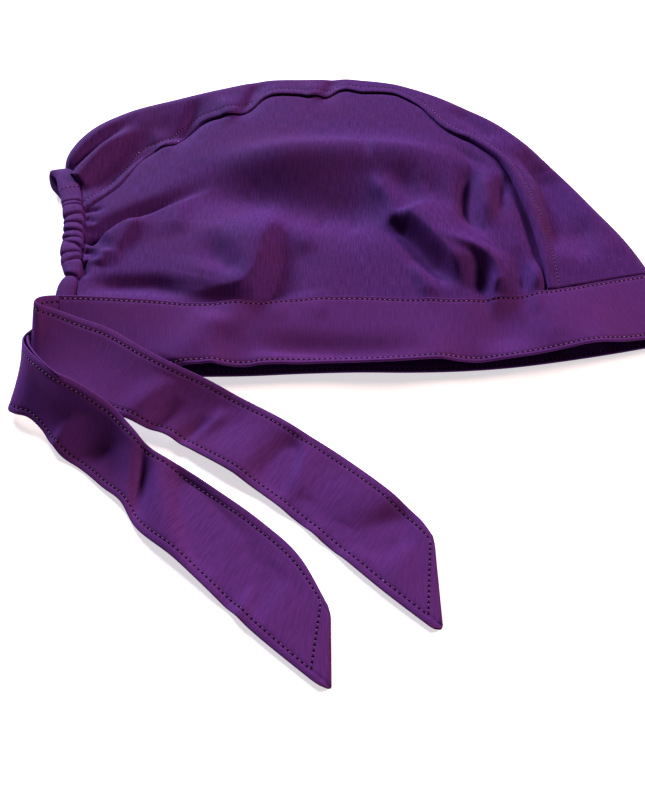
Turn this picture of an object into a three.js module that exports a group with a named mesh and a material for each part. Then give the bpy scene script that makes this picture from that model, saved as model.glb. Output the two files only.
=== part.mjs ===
// A tie-back scrub cap lying on its left side, as it is laid out flat on a table.
// The wearer's front is at +X, the top of the head at +Y, and +Z is up from the table.
// Every piece is a closed wall of cloth. All sizes are in millimetres.
import * as THREE from 'three';

// Cloth and seams
const CLOTH = 1.4;
const STRIP_CLOTH = 1.6;
const SEAM_GAP = 0.7;
const SEAM_RISE = 0.9;
const STRIP_END_INSET = 0.035;
const CASING_GAP = 0.5;

// The crown's fold along the middle of the head
const FOLD_REACH = 8.5;
const FOLD_REACH_SHARE = 0.42;
const FOLD_MIDDLE_SHARE = 0.4;

// The band's fold at the middle of the forehead
const BAND_FOLD_REACH = 7.5;
const FAR_RIM_SET_BACK = 2;

// The gathered casing at the nape
const CASING_WIDTH = 10;
const CASING_END_WIDTH = 7.4;
const CASING_HEIGHT = 4.6;
const CASING_FAR_HEIGHT = 2.6;
const CASING_FAR_RISE = 2.5;
const CASING_WRAP = 3.4;
const PUCKER_PITCH = 5;
const PUCKER_DEPTH = 0.13;

// Gathers that run from the casing into the crown
const GATHER_HEIGHT = 1.3;
const GATHER_REACH = 22;
const GATHER_COUNT = 5;
const PANEL_LOFT = 1.2;

// Mesh counts
const CELLS_ALONG = 30;
const CELLS_UP = 12;
const CELLS_ACROSS_SEAM_SIDE = 4;
const CELLS_ROUND_FOLD = 6;
const CELLS_LOWER_SIDE = 2;
const BAND_CELLS_ALONG = 34;
const BAND_CELLS_ACROSS = 5;
const BAND_FOLD_CELLS = 6;
const TIE_CELLS_PER_ROW = 3;
const TIE_CELLS_ACROSS = 5;
const CASING_ROUND = 12;
const CASING_STEPS = 30;
const CASING_WRAP_STEPS = 5;
const SEARCH_STEPS = 30;

// The middle of the laid-out cap in the layout that the tables below use
const LAYOUT_CENTRE = new THREE.Vector3(10, 47, 0);

// Cloth colours
const VIOLET = 0x5f307d;
const PLUM = 0x5a2c74;
const DEEP_VIOLET = 0x522a6c;

// Sections of the crown strip, from the forehead to the nape. Each runs from the seam of the
// upper side panel to the strip's outermost fold; foldZ is the height where the fold begins.
const CROWN_SECTIONS = [
  { seamX: 97, seamY: 52.6, seamZ: 13.2, foldX: 146, foldY: 66.6, foldZ: 11 },
  { seamX: 96, seamY: 75, seamZ: 14.6, foldX: 139.2, foldY: 86.4, foldZ: 12.4 },
  { seamX: 94, seamY: 97, seamZ: 15.4, foldX: 128.5, foldY: 110, foldZ: 13.4 },
  { seamX: 90.5, seamY: 117.5, seamZ: 16, foldX: 116.5, foldY: 136.5, foldZ: 14 },
  { seamX: 84, seamY: 134, seamZ: 16, foldX: 102.5, foldY: 159, foldZ: 14 },
  { seamX: 73, seamY: 150, seamZ: 16, foldX: 88.5, foldY: 177.5, foldZ: 14 },
  { seamX: 60.5, seamY: 164, seamZ: 15.8, foldX: 72.5, foldY: 191.5, foldZ: 14 },
  { seamX: 51, seamY: 182, seamZ: 15.4, foldX: 56.5, foldY: 203.5, foldZ: 13.8 },
  { seamX: 37, seamY: 194.5, seamZ: 15, foldX: 38.5, foldY: 212, foldZ: 13.5 },
  { seamX: 15, seamY: 196.8, seamZ: 15, foldX: 15, foldY: 217.2, foldZ: 13.5 },
  { seamX: -6, seamY: 193.2, seamZ: 15.2, foldX: -9, foldY: 217.4, foldZ: 13.5 },
  { seamX: -26, seamY: 192.6, seamZ: 15.2, foldX: -30, foldY: 216.4, foldZ: 13.5 },
  { seamX: -42, seamY: 179, seamZ: 15, foldX: -53, foldY: 207.8, foldZ: 13.5 },
  { seamX: -61, seamY: 170.5, seamZ: 14.8, foldX: -77, foldY: 196.2, foldZ: 13.2 },
  { seamX: -77, seamY: 154, seamZ: 14.2, foldX: -101, foldY: 183, foldZ: 12.8 },
  { seamX: -88, seamY: 142, seamZ: 13.4, foldX: -118.5, foldY: 167, foldZ: 12 },
  { seamX: -97.5, seamY: 125, seamZ: 12.6, foldX: -126.2, foldY: 150.4, foldZ: 11.2 },
  { seamX: -111, seamY: 108, seamZ: 11.6, foldX: -124.8, foldY: 137.4, foldZ: 10 },
];
const CROWN_CORNER_ROW = 4;

// Sections of the band's upper side, from the nape to the forehead. The rim is the open edge.
const BAND_SECTIONS = [
  { rimX: -111, rimY: 13.5, rimZ: 4.4, topX: -111, topY: 46.8, topZ: 15.5 },
  { rimX: -92, rimY: 12.4, rimZ: 5.8, topX: -92, topY: 47, topZ: 14.4 },
  { rimX: -71, rimY: 12, rimZ: 7.6, topX: -71, topY: 45.6, topZ: 14 },
  { rimX: -50, rimY: 12, rimZ: 9.2, topX: -51, topY: 43.8, topZ: 13.5 },
  { rimX: -30, rimY: 12.4, rimZ: 9.8, topX: -32, topY: 45, topZ: 13 },
  { rimX: -9, rimY: 13.6, rimZ: 9.6, topX: -10, topY: 47.8, topZ: 13.2 },
  { rimX: 14, rimY: 14.4, rimZ: 9, topX: 14, topY: 48.4, topZ: 13.3 },
  { rimX: 37, rimY: 14.3, rimZ: 8.6, topX: 38, topY: 47.2, topZ: 13.3 },
  { rimX: 58, rimY: 15, rimZ: 8.6, topX: 59, topY: 47.2, topZ: 13.2 },
  { rimX: 79, rimY: 17, rimZ: 8.8, topX: 78, topY: 49.2, topZ: 13 },
  { rimX: 101, rimY: 20.6, rimZ: 9.4, topX: 97, topY: 52, topZ: 12.8 },
  { rimX: 125, rimY: 25.4, rimZ: 9.4, topX: 118, topY: 57.9, topZ: 12.2 },
  { rimX: 146.5, rimY: 30.4, rimZ: 8, topX: 138.7, topY: 63.8, topZ: 11 },
];

// The line where the gathered casing is sewn to the crown, from the band up to the crown's fold
const CASING_LINE = [
  { x: -103, y: 47.6, z: 14.2 },
  { x: -103.8, y: 62, z: 13.6 },
  { x: -104.8, y: 76, z: 12.9 },
  { x: -107.2, y: 92, z: 12.2 },
  { x: -111, y: 108, z: 11.2 },
  { x: -117.9, y: 122.7, z: 10.2 },
  { x: -124.8, y: 137.4, z: 9.2 },
];
const CASING_LINE_CORNER = 4;

// Folds pressed into the upper layer: a ridge where height is positive, a valley where negative
const FOLDS = [
  { fromX: -107, fromY: 91, toX: -66, toY: 114, halfWidth: 4.5, height: -1.9 },
  { fromX: -106, fromY: 100, toX: -80, toY: 114, halfWidth: 4.5, height: 1.9 },
  { fromX: -101, fromY: 78, toX: -80, toY: 102, halfWidth: 5, height: 1.8 },
  { fromX: -82, fromY: 93, toX: -88, toY: 65, halfWidth: 5, height: -1.5 },
  { fromX: -103, fromY: 61, toX: -61, toY: 55, halfWidth: 4.5, height: -2 },
  { fromX: -44, fromY: 70, toX: -43, toY: 57, halfWidth: 8, height: -2 },
  { fromX: -50, fromY: 180, toX: 45, toY: 181, halfWidth: 9, height: 0.8 },
  { fromX: -61, fromY: 159, toX: 60, toY: 159, halfWidth: 7, height: -0.8 },
  { fromX: -58, fromY: 125, toX: 60, toY: 125, halfWidth: 14, height: -2.2 },
  { fromX: -55, fromY: 93, toX: 50, toY: 93, halfWidth: 12, height: 1.8 },
  { fromX: 34, fromY: 100, toX: 55, toY: 58, halfWidth: 4.5, height: -2.2 },
  { fromX: 42, fromY: 108, toX: 75, toY: 58, halfWidth: 5.5, height: 1.9 },
  { fromX: 24, fromY: 123, toX: 32, toY: 97, halfWidth: 4, height: 1.5 },
  { fromX: -19, fromY: 87, toX: -32, toY: 50, halfWidth: 5, height: -1.5 },
  { fromX: 110, fromY: 130, toX: 104, toY: 70, halfWidth: 5, height: -1.8 },
  { fromX: 119, fromY: 95, toX: 116, toY: 72, halfWidth: 4, height: -1 },
  { fromX: -117, fromY: 137, toX: -106, toY: 160, halfWidth: 4, height: -1.8 },
  { fromX: -109, fromY: 127, toX: -98, toY: 150, halfWidth: 4, height: 1.6 },
];

// Sections across the wearer's right tie: out from the band's upper side, round the turn at the
// nape, back over the band and down to the table, with its end cut slanting. The upper edge is
// the one that the band's sewn edge runs on into; sag is how far the middle hangs below the line.
const RIGHT_TIE_SECTIONS = [
  { upX: -111.4, upY: 46.8, upZ: 15.5, lowX: -111.4, lowY: 13.5, lowZ: 4.4, sag: 0 },
  { upX: -115.4, upY: 44.8, upZ: 17.2, lowX: -114.8, lowY: 13.4, lowZ: 3.7, sag: 0 },
  { upX: -118.2, upY: 42.2, upZ: 18.8, lowX: -117.6, lowY: 13.6, lowZ: 3.3, sag: 0 },
  { upX: -119.2, upY: 39.4, upZ: 19.6, lowX: -119.2, lowY: 12.4, lowZ: 3.8, sag: 0 },
  { upX: -117.4, upY: 37.4, upZ: 19.6, lowX: -117.4, lowY: 10.6, lowZ: 4.8, sag: 0 },
  { upX: -113.6, upY: 36.2, upZ: 19, lowX: -113.8, lowY: 8.6, lowZ: 5.4, sag: 0.6 },
  { upX: -109.3, upY: 35, upZ: 18.2, lowX: -110, lowY: 6.4, lowZ: 5.7, sag: 1 },
  { upX: -101.5, upY: 32, upZ: 17.2, lowX: -105.5, lowY: 3.2, lowZ: 5.7, sag: 1.2 },
  { upX: -88.4, upY: 27.2, upZ: 15.8, lowX: -97.5, lowY: -1, lowZ: 5.5, sag: 1 },
  { upX: -72.6, upY: 17.7, upZ: 13.6, lowX: -86, lowY: -7.6, lowZ: 5.2, sag: 0.4 },
  { upX: -59.3, upY: 10.2, upZ: 12.2, lowX: -74.6, lowY: -12.8, lowZ: 4.4, sag: -0.4 },
  { upX: -46.3, upY: 5.3, upZ: 8.8, lowX: -62, lowY: -18, lowZ: 3.4, sag: 0.6 },
  { upX: -33.3, upY: -1.2, upZ: 5.6, lowX: -50.3, lowY: -26, lowZ: 2.6, sag: -0.4 },
  { upX: -16.8, upY: -10.5, upZ: 3.2, lowX: -31.9, lowY: -38.6, lowZ: 2, sag: -1 },
  { upX: 4.4, upY: -26, upZ: 2.4, lowX: -11.6, lowY: -55.3, lowZ: 2, sag: -0.6 },
  { upX: 25.6, upY: -46, upZ: 2.2, lowX: 5.5, lowY: -71.6, lowZ: 1.8, sag: 0.6 },
  { upX: 35.7, upY: -56.5, upZ: 2, lowX: 21, lowY: -86.5, lowZ: 1.6, sag: 0.3 },
  { upX: 40.4, upY: -64.4, upZ: 1.4, lowX: 41, lowY: -104, lowZ: 1.2, sag: 0 },
];

// The wearer's left tie: out from the band's lower side along the table, round a turn outside
// the right tie's, then standing on its lower edge and laid down beside the right tie
const LEFT_TIE_SECTIONS = [
  { upX: -111.4, upY: 46.8, upZ: 0.8, lowX: -111.4, lowY: 13.5, lowZ: 0.8, sag: 0 },
  { upX: -118, upY: 44.5, upZ: 1, lowX: -117, lowY: 8, lowZ: 0.8, sag: 0 },
  { upX: -122.4, upY: 40.2, upZ: 3.2, lowX: -121.5, lowY: 2, lowZ: 0.9, sag: 0.6 },
  { upX: -123.8, upY: 35, upZ: 6, lowX: -124.4, lowY: -2, lowZ: 1.2, sag: 1 },
  { upX: -123.9, upY: 28.8, upZ: 9.5, lowX: -125.6, lowY: -4.2, lowZ: 1.9, sag: 1.4 },
  { upX: -122.4, upY: 22, upZ: 13, lowX: -124.6, lowY: -6.6, lowZ: 3, sag: 1.8 },
  { upX: -119.6, upY: 15.8, upZ: 15.8, lowX: -121.8, lowY: -8.4, lowZ: 3.6, sag: 2.2 },
  { upX: -113.2, upY: 7, upZ: 18, lowX: -116.8, lowY: -9.8, lowZ: 3.4, sag: 2.4 },
  { upX: -105.6, upY: 0.2, upZ: 18.4, lowX: -110.6, lowY: -15.2, lowZ: 2.4, sag: 2.2 },
  { upX: -97.9, upY: -3.4, upZ: 17, lowX: -105.6, lowY: -22.4, lowZ: 1.6, sag: 2 },
  { upX: -90.6, upY: -7.3, upZ: 15.5, lowX: -101.6, lowY: -27, lowZ: 1.2, sag: 2 },
  { upX: -82, upY: -12.6, upZ: 13, lowX: -92.6, lowY: -33.4, lowZ: 1.1, sag: 2 },
  { upX: -73.9, upY: -20.2, upZ: 10, lowX: -83.4, lowY: -41.8, lowZ: 1.1, sag: 1.6 },
  { upX: -65.4, upY: -28, upZ: 7, lowX: -75.8, lowY: -48.4, lowZ: 1.4, sag: 0.8 },
  { upX: -53.3, upY: -34.2, upZ: 4.5, lowX: -68, lowY: -60.8, lowZ: 1.6, sag: -0.6 },
  { upX: -37.4, upY: -46, upZ: 3.2, lowX: -53.3, lowY: -73.5, lowZ: 1.4, sag: -1 },
  { upX: -22.1, upY: -58.5, upZ: 2.6, lowX: -36.2, lowY: -90, lowZ: 1.4, sag: -0.4 },
  { upX: -8.7, upY: -72.1, upZ: 2.2, lowX: -22.8, lowY: -103, lowZ: 1.4, sag: 0.4 },
  { upX: 2.9, upY: -94, upZ: 1.6, lowX: 3, lowY: -125, lowZ: 1.2, sag: 0 },
];

// A smooth line through one set of a table's columns; its parameter counts rows evenly.
function curveThrough(rows, prefix) {
  const keys = prefix ? [`${prefix}X`, `${prefix}Y`, `${prefix}Z`] : ['x', 'y', 'z'];
  const points = rows.map((row) => new THREE.Vector3(...keys.map((key) => row[key])));
  return new THREE.CatmullRomCurve3(points, false, 'centripetal');
}

// One column of a table read between its rows
function columnAt(rows, name, t) {
  const place = t * (rows.length - 1);
  const row = Math.min(Math.floor(place), rows.length - 2);
  return THREE.MathUtils.lerp(rows[row][name], rows[row + 1][name], place - row);
}

// Height that the pressed folds add at a place on the upper layer
function foldHeight(x, y) {
  let height = 0;
  for (const fold of FOLDS) {
    const dx = fold.toX - fold.fromX;
    const dy = fold.toY - fold.fromY;
    const length = Math.hypot(dx, dy);
    const along = ((x - fold.fromX) * dx + (y - fold.fromY) * dy) / length;
    const across = ((x - fold.fromX) * dy - (y - fold.fromY) * dx) / length;
    const beyond = Math.max(0, -along, along - length);
    const distance = Math.hypot(across, beyond) / fold.halfWidth;
    height += fold.height * Math.exp(-distance * distance);
  }
  return height;
}

// The unit normal of a grid of points at one of its corners
function gridNormal(grid, i, j) {
  const before = grid[Math.max(i - 1, 0)][j];
  const after = grid[Math.min(i + 1, grid.length - 1)][j];
  const below = grid[i][Math.max(j - 1, 0)];
  const above = grid[i][Math.min(j + 1, grid[i].length - 1)];
  const alongI = new THREE.Vector3().subVectors(after, before);
  const alongJ = new THREE.Vector3().subVectors(above, below);
  return alongI.cross(alongJ).normalize();
}

// Makes a closed mesh from vertices and quads, with its faces turned outwards.
function closedGeometry(vertices, quads) {
  let volume = 0;
  const triangles = quads.flatMap(([a, b, c, d]) => [[a, b, c], [a, c, d]]);
  for (const [a, b, c] of triangles) {
    volume += vertices[a].dot(new THREE.Vector3().crossVectors(vertices[b], vertices[c]));
  }
  const index = triangles.flatMap(([a, b, c]) => (volume > 0 ? [a, b, c] : [a, c, b]));
  const geometry = new THREE.BufferGeometry();
  geometry.setFromPoints(vertices.map((vertex) => vertex.clone().sub(LAYOUT_CENTRE)));
  geometry.setIndex(index);
  geometry.computeVertexNormals();
  return geometry;
}

// A sheet of cloth of even thickness round a grid of points on its middle surface
function clothWall(grid, thickness) {
  const rows = grid.length;
  const columns = grid[0].length;
  const vertices = [];
  for (const side of [0.5, -0.5]) {
    for (let i = 0; i < rows; i += 1) {
      for (let j = 0; j < columns; j += 1) {
        const offset = gridNormal(grid, i, j).multiplyScalar(side * thickness);
        vertices.push(grid[i][j].clone().add(offset));
      }
    }
  }
  const top = (i, j) => i * columns + j;
  const under = (i, j) => rows * columns + i * columns + j;
  const quads = [];
  for (let i = 0; i < rows - 1; i += 1) {
    for (let j = 0; j < columns - 1; j += 1) {
      quads.push([top(i, j), top(i + 1, j), top(i + 1, j + 1), top(i, j + 1)]);
      quads.push([under(i, j), under(i, j + 1), under(i + 1, j + 1), under(i + 1, j)]);
    }
    quads.push([top(i, 0), under(i, 0), under(i + 1, 0), top(i + 1, 0)]);
    const last = columns - 1;
    quads.push([top(i, last), top(i + 1, last), under(i + 1, last), under(i, last)]);
  }
  for (let j = 0; j < columns - 1; j += 1) {
    quads.push([top(0, j), top(0, j + 1), under(0, j + 1), under(0, j)]);
    const last = rows - 1;
    quads.push([top(last, j), under(last, j), under(last, j + 1), top(last, j + 1)]);
  }
  return closedGeometry(vertices, quads);
}

const seamCurve = curveThrough(CROWN_SECTIONS, 'seam');
const foldCurve = curveThrough(CROWN_SECTIONS, 'fold');
const rimCurve = curveThrough(BAND_SECTIONS, 'rim');
const bandTopCurve = curveThrough(BAND_SECTIONS, 'top');
const casingCurve = curveThrough(CASING_LINE, '');
const seamCorner = CROWN_CORNER_ROW / (CROWN_SECTIONS.length - 1);
const casingCorner = CASING_LINE_CORNER / (CASING_LINE.length - 1);

// The parameter on the band's top edge where it passes a given x
function bandTopAt(x) {
  let low = 0;
  let high = 1;
  for (let step = 0; step < SEARCH_STEPS; step += 1) {
    const middle = (low + high) / 2;
    if (bandTopCurve.getPoint(middle).x < x) low = middle;
    else high = middle;
  }
  return low;
}

// A side panel's middle surface, filled in between the band, the seam and the casing
function panelPoint(u, v, isUpper) {
  const flatten = (point) => (isUpper ? point : point.setZ(CLOTH / 2));
  const bandStart = bandTopAt(CASING_LINE[0].x);
  const bandEnd = bandTopAt(CROWN_SECTIONS[0].seamX);
  const bottom = (s) => flatten(bandTopCurve.getPoint(THREE.MathUtils.lerp(bandStart, bandEnd, s)));
  const top = (s) => flatten(seamCurve.getPoint(THREE.MathUtils.lerp(1, seamCorner, s)));
  const left = (s) => flatten(casingCurve.getPoint(casingCorner * s));
  const right = (s) => flatten(seamCurve.getPoint(seamCorner * s));
  const point = bottom(u).lerp(top(u), v).add(left(v).lerp(right(v), u));
  point.sub(bottom(0).lerp(bottom(1), u).lerp(top(0).lerp(top(1), u), v));
  if (isUpper) {
    const gather = Math.cos(2 * Math.PI * GATHER_COUNT * v) * GATHER_HEIGHT;
    const fromCasing = point.x - casingCurve.getPoint(casingCorner * v).x;
    point.z += gather * Math.sin(Math.PI * v) * Math.exp(-fromCasing / GATHER_REACH);
    point.z += PANEL_LOFT * Math.sin(Math.PI * u) * Math.sin(Math.PI * v);
    point.z += foldHeight(point.x, point.y);
  }
  return point;
}

function sidePanel(isUpper) {
  const width = CROWN_SECTIONS[0].seamX - CASING_LINE[0].x;
  const insetU = SEAM_GAP / width;
  const grid = [];
  for (let i = 0; i <= CELLS_ALONG; i += 1) {
    const column = [];
    for (let j = 0; j <= CELLS_UP; j += 1) {
      const u = THREE.MathUtils.clamp(i / CELLS_ALONG, insetU, 1 - insetU / 2);
      const reach = panelPoint(u, 0, isUpper).distanceTo(panelPoint(u, 1, isUpper));
      const insetV = SEAM_GAP / reach;
      const v = THREE.MathUtils.clamp(j / CELLS_UP, insetV, 1 - insetV / 2);
      column.push(panelPoint(u, v, isUpper));
    }
    grid.push(column);
  }
  return clothWall(grid, CLOTH);
}

// One section of the crown strip: along the upper layer from its seam, round the fold at the
// middle of the head, and back along the table to the lower seam
function crownSection(t) {
  const seam = seamCurve.getPoint(t);
  const fold = foldCurve.getPoint(t);
  const shoulder = fold.z;
  const outward = new THREE.Vector3(fold.x - seam.x, fold.y - seam.y, 0);
  const width = outward.length();
  outward.normalize();
  const reach = Math.min(FOLD_REACH, width * FOLD_REACH_SHARE);
  const flat = width - reach;
  const middle = CLOTH / 2 + (shoulder - CLOTH / 2) * FOLD_MIDDLE_SHARE;
  const start = SEAM_GAP / 2;
  const base = new THREE.Vector3(seam.x, seam.y, 0);
  const placed = (distance) => base.clone().addScaledVector(outward, distance);
  const points = [];
  for (let k = 0; k < CELLS_ACROSS_SEAM_SIDE; k += 1) {
    const share = k / CELLS_ACROSS_SEAM_SIDE;
    const point = placed(THREE.MathUtils.lerp(start, flat, share));
    const rise = SEAM_RISE * Math.exp(-share * CELLS_ACROSS_SEAM_SIDE);
    point.z = THREE.MathUtils.lerp(seam.z, shoulder, share) + rise + foldHeight(point.x, point.y);
    points.push(point);
  }
  for (let k = 0; k <= CELLS_ROUND_FOLD; k += 1) {
    const angle = Math.PI * (0.5 - k / CELLS_ROUND_FOLD);
    const point = placed(flat + reach * Math.cos(angle));
    const lift = Math.sin(angle);
    const upper = shoulder + foldHeight(point.x, point.y) - middle;
    point.z = middle + lift * (lift > 0 ? upper : middle - CLOTH / 2);
    points.push(point);
  }
  for (let k = 1; k <= CELLS_LOWER_SIDE; k += 1) {
    const distance = THREE.MathUtils.lerp(flat, start, k / CELLS_LOWER_SIDE);
    points.push(placed(distance).setZ(CLOTH / 2));
  }
  return points;
}

function crownStrip() {
  const places = [];
  for (let j = 0; j < CELLS_UP; j += 1) places.push((seamCorner * j) / CELLS_UP);
  for (let i = 0; i <= CELLS_ALONG; i += 1) {
    places.push(THREE.MathUtils.lerp(seamCorner, 1, i / CELLS_ALONG));
  }
  const inset = STRIP_END_INSET / (CROWN_SECTIONS.length - 1);
  const grid = places.map((t) => crownSection(THREE.MathUtils.clamp(t, inset, 1 - inset)));
  return clothWall(grid, CLOTH);
}

// The band: its upper side, the fold at the forehead, and its lower side flat on the table
function band() {
  const sections = [];
  for (let i = 0; i <= BAND_CELLS_ALONG; i += 1) {
    const rim = rimCurve.getPoint(i / BAND_CELLS_ALONG);
    const top = bandTopCurve.getPoint(i / BAND_CELLS_ALONG);
    const row = [];
    for (let j = 0; j <= BAND_CELLS_ACROSS; j += 1) {
      const share = j / BAND_CELLS_ACROSS;
      const point = rim.clone().lerp(top, share);
      point.z += foldHeight(point.x, point.y) * share;
      row.push(point);
    }
    sections.push(row);
  }
  const end = sections[BAND_CELLS_ALONG];
  const beforeEnd = bandTopCurve.getPoint(1 - 1 / (BAND_SECTIONS.length - 1));
  const outward = bandTopCurve.getPoint(1).sub(beforeEnd).setZ(0).normalize();
  for (let k = 1; k < BAND_FOLD_CELLS; k += 1) {
    const angle = (Math.PI * k) / BAND_FOLD_CELLS;
    sections.push(end.map((point) => {
      const turned = point.clone().addScaledVector(outward, BAND_FOLD_REACH * Math.sin(angle));
      const middle = (point.z + STRIP_CLOTH / 2) / 2;
      return turned.setZ(middle + (point.z - middle) * Math.cos(angle));
    }));
  }
  for (let i = BAND_CELLS_ALONG; i >= 0; i -= 1) {
    sections.push(sections[i].map((point, j) => {
      const setBack = FAR_RIM_SET_BACK * (1 - j / BAND_CELLS_ACROSS);
      return new THREE.Vector3(point.x, point.y + setBack, STRIP_CLOTH / 2);
    }));
  }
  return clothWall(sections, STRIP_CLOTH);
}

// A tie: sections from its lower to its upper edge, each a flat arc as deep as its sag
function tie(rows) {
  const upper = curveThrough(rows, 'up');
  const lower = curveThrough(rows, 'low');
  const cells = (rows.length - 1) * TIE_CELLS_PER_ROW;
  const grid = [];
  for (let i = 0; i <= cells; i += 1) {
    const t = i / cells;
    const from = lower.getPoint(t);
    const to = upper.getPoint(t);
    const across = new THREE.Vector3().subVectors(to, from);
    const inset = across.clone().setLength(STRIP_CLOTH / 2);
    from.add(inset);
    to.sub(inset);
    const ahead = upper.getTangent(t).add(lower.getTangent(t));
    const facing = across.cross(ahead).normalize();
    const sag = columnAt(rows, 'sag', t);
    const row = [];
    for (let j = 0; j <= TIE_CELLS_ACROSS; j += 1) {
      const share = j / TIE_CELLS_ACROSS;
      const bow = 4 * share * (1 - share) * sag;
      row.push(from.clone().lerp(to, share).addScaledVector(facing, bow));
    }
    grid.push(row);
  }
  return clothWall(grid, STRIP_CLOTH);
}

// The route of the casing's middle line: up the nape on the upper layer, over the top of the
// crown's opening, and down again on the table
function casingRoute() {
  const stations = [];
  for (let i = 0; i <= CASING_STEPS; i += 1) {
    const t = i / CASING_STEPS;
    const line = casingCurve.getPoint(t);
    const ahead = casingCurve.getTangent(t).setZ(0).normalize();
    const side = new THREE.Vector3(-ahead.y, ahead.x, 0);
    const width = THREE.MathUtils.lerp(CASING_END_WIDTH, CASING_WIDTH, Math.sin(Math.PI * t));
    line.addScaledVector(side, width / 2 + CASING_GAP);
    stations.push({ centre: line, side, up: new THREE.Vector3(0, 0, 1), width, ahead });
  }
  const last = stations[CASING_STEPS];
  const far = stations.map((station) => ({
    ...station,
    centre: station.centre.clone().setZ(CASING_FAR_RISE),
    up: new THREE.Vector3(0, 0, -1),
    isFar: true,
  }));
  const middle = (last.centre.z + CASING_FAR_RISE) / 2;
  const radius = last.centre.z - middle;
  for (let k = 1; k < CASING_WRAP_STEPS; k += 1) {
    const angle = (Math.PI * k) / CASING_WRAP_STEPS;
    const centre = last.centre.clone().addScaledVector(last.ahead, CASING_WRAP * Math.sin(angle));
    centre.z = middle + radius * Math.cos(angle);
    const up = last.ahead.clone().multiplyScalar(Math.sin(angle));
    up.z = Math.cos(angle);
    stations.push({ ...last, centre, up });
  }
  return stations.concat(far.reverse());
}

function elasticCasing() {
  const route = casingRoute();
  const vertices = [];
  let travelled = 0;
  route.forEach((station, i) => {
    if (i > 0) travelled += station.centre.distanceTo(route[i - 1].centre);
    const pucker = PUCKER_DEPTH * Math.cos((2 * Math.PI * travelled) / PUCKER_PITCH);
    for (let k = 0; k < CASING_ROUND; k += 1) {
      const angle = (2 * Math.PI * k) / CASING_ROUND;
      const across = Math.cos(angle) * (station.width / 2);
      const height = station.isFar ? CASING_FAR_HEIGHT : CASING_HEIGHT;
      const rise = Math.sin(angle) * (height / 2) * (1 + (station.isFar ? 0 : pucker));
      const reach = across > 0 ? across * (1 + pucker) : across;
      const point = station.centre.clone().addScaledVector(station.side, reach);
      vertices.push(point.addScaledVector(station.up, rise));
    }
  });
  const quads = [];
  const at = (i, k) => i * CASING_ROUND + (k % CASING_ROUND);
  for (let i = 0; i < route.length - 1; i += 1) {
    for (let k = 0; k < CASING_ROUND; k += 1) {
      quads.push([at(i, k), at(i, k + 1), at(i + 1, k + 1), at(i + 1, k)]);
    }
  }
  for (const [i, turn] of [[0, -1], [route.length - 1, 1]]) {
    for (let k = 1; k < CASING_ROUND / 2; k += 1) {
      const quad = [at(i, k - 1), at(i, k), at(i, CASING_ROUND - k - 1), at(i, CASING_ROUND - k)];
      quads.push(turn > 0 ? quad : quad.reverse());
    }
  }
  return closedGeometry(vertices, quads);
}

function pieceOf(name, geometry, color, roughness) {
  const material = new THREE.MeshStandardMaterial({ color, roughness, metalness: 0 });
  const mesh = new THREE.Mesh(geometry, material);
  mesh.name = name;
  return mesh;
}

const cap = new THREE.Group();
cap.add(
  pieceOf('side_panel_right', sidePanel(true), VIOLET, 0.85),
  pieceOf('side_panel_left', sidePanel(false), VIOLET, 0.85),
  pieceOf('crown_strip', crownStrip(), PLUM, 0.85),
  pieceOf('band', band(), VIOLET, 0.8),
  pieceOf('elastic_casing', elasticCasing(), DEEP_VIOLET, 0.9),
  pieceOf('tie_right', tie(RIGHT_TIE_SECTIONS), VIOLET, 0.8),
  pieceOf('tie_left', tie(LEFT_TIE_SECTIONS), PLUM, 0.8),
);

export default cap;
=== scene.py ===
import math
import bmesh
import bpy
import numpy as np
from mathutils import Matrix, Vector


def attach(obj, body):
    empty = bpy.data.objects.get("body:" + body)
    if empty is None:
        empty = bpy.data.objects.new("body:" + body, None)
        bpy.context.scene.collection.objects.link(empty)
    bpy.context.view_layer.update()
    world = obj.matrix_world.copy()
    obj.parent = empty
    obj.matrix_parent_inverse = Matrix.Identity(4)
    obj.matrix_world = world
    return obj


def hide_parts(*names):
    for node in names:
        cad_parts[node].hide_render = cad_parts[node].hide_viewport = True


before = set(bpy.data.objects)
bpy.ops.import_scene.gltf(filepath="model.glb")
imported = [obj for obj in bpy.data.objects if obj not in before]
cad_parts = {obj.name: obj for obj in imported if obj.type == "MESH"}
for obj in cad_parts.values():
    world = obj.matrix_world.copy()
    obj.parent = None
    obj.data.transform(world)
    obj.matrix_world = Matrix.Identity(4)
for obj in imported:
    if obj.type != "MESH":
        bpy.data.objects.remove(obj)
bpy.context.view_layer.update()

# Right side panel: the half-round side of the crown that faces up, one layer of plain-woven
# poly-cotton cut with its grain upright. It is sewn under the band, the crown strip and the
# nape casing and eased in at the nape, from where its folds fan out. Sizes are in millimetres.
MM = 0.001
PANEL_LENGTH = 205
PANEL_HEIGHT = 150
PANEL_HALF = 0.25
# How far its sewn edges go under the next piece and how much lower they lie there, and how far
# the cloth stands up in its middle
TUCK = 1.6
TUCK_DROP = 0.62
PANEL_LOFT = 1.2


def smooth_line(rows):
    """A smooth curve through rows of points. Its parameter, from 0 to 1, counts the rows evenly."""
    points = np.array(rows, float)
    points = np.vstack([2 * points[0] - points[1], points, 2 * points[-1] - points[-2]])

    def at(t):
        place = np.clip(np.asarray(t, float), 0, 1) * (len(points) - 3)
        row = np.minimum(place.astype(int), len(points) - 4)
        s = (place - row)[..., None]
        a, b, c, d = (points[row + k] for k in range(4))
        ab, bc, cd = (
            np.sqrt(np.linalg.norm(q - p, axis=-1, keepdims=True))
            for p, q in ((a, b), (b, c), (c, d))
        )
        leave = ((b - a) / ab - (c - a) / (ab + bc) + (c - b) / bc) * bc
        reach = ((c - b) / bc - (d - b) / (bc + cd) + (d - c) / cd) * bc
        bend = 3 * (c - b) - 2 * leave - reach
        return b + leave * s + bend * s**2 + (2 * (b - c) + leave + reach) * s**3

    return at


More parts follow.
